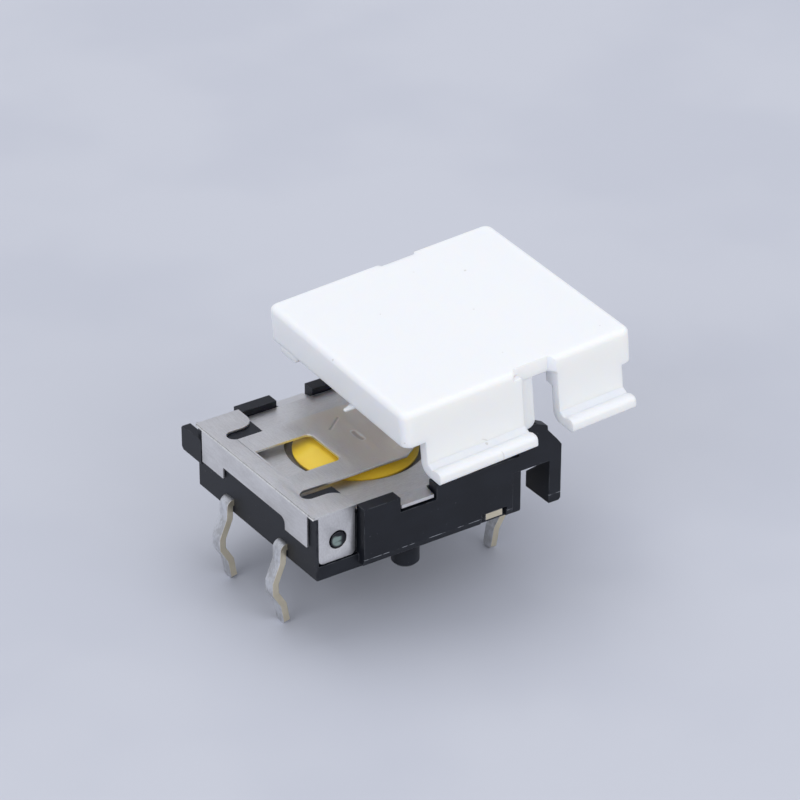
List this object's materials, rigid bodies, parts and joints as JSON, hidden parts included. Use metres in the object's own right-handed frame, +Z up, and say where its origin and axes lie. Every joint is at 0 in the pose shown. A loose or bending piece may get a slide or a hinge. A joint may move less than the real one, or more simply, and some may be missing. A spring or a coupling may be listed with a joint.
{
  "type": "machine panel push button",
  "caption": "Board-mounted push button: black moulded base with kinked leads, yellow plunger under a stamped leaf spring, and a tilting white key cap on rear hooks.",
  "frame": {"origin": "centre of the four leads, on the face that seats on the circuit board", "axes": "+X along the base from the leaf spring's end towards the rear hooks, +Y towards the far side with the lug, +Z up out of the board"},
  "size_m": [0.0192, 0.0161, 0.0134],
  "materials": {
    "base_black": "satin moulded black",
    "tinned_lead": "tin plated",
    "spring_steel": "bright",
    "plunger_yellow": "glossy yellow",
    "stainless_plate": "rolled sheet, fine grain",
    "stainless_leaf": "rolled sheet, fine grain",
    "cap_white": "smooth white"
  },
  "bodies": {
    "base": {"housing": "base_black", "near_terminal": "tinned_lead", "far_terminal": "tinned_lead", "snap_dome": "spring_steel", "cover_plate": "stainless_plate", "leaf_spring": "stainless_leaf"},
    "plunger": {"plunger": "plunger_yellow"},
    "cap": {"key_cap": "cap_white"}
  },
  "joints": [
    {"name": "key_press", "type": "hinge", "parent": "base", "child": "cap", "pos_m": [0.00601, -0.00025, 0.00556], "axis": [-0.044, -0.999, 0], "range_deg": [0, 5], "stiffness_Nm_per_rad": 0.09, "deforming": ["leaf_spring"]},
    {"name": "plunger_travel", "type": "slide", "parent": "base", "child": "plunger", "axis": [0, 0, -1], "range_m": [0, 0.0003424], "deforming": ["leaf_spring", "snap_dome"]}
  ],
  "couplings": [
    {"joint": "plunger_travel", "follows": "key_press", "m_per_rad": 0.0038469}
  ]
}
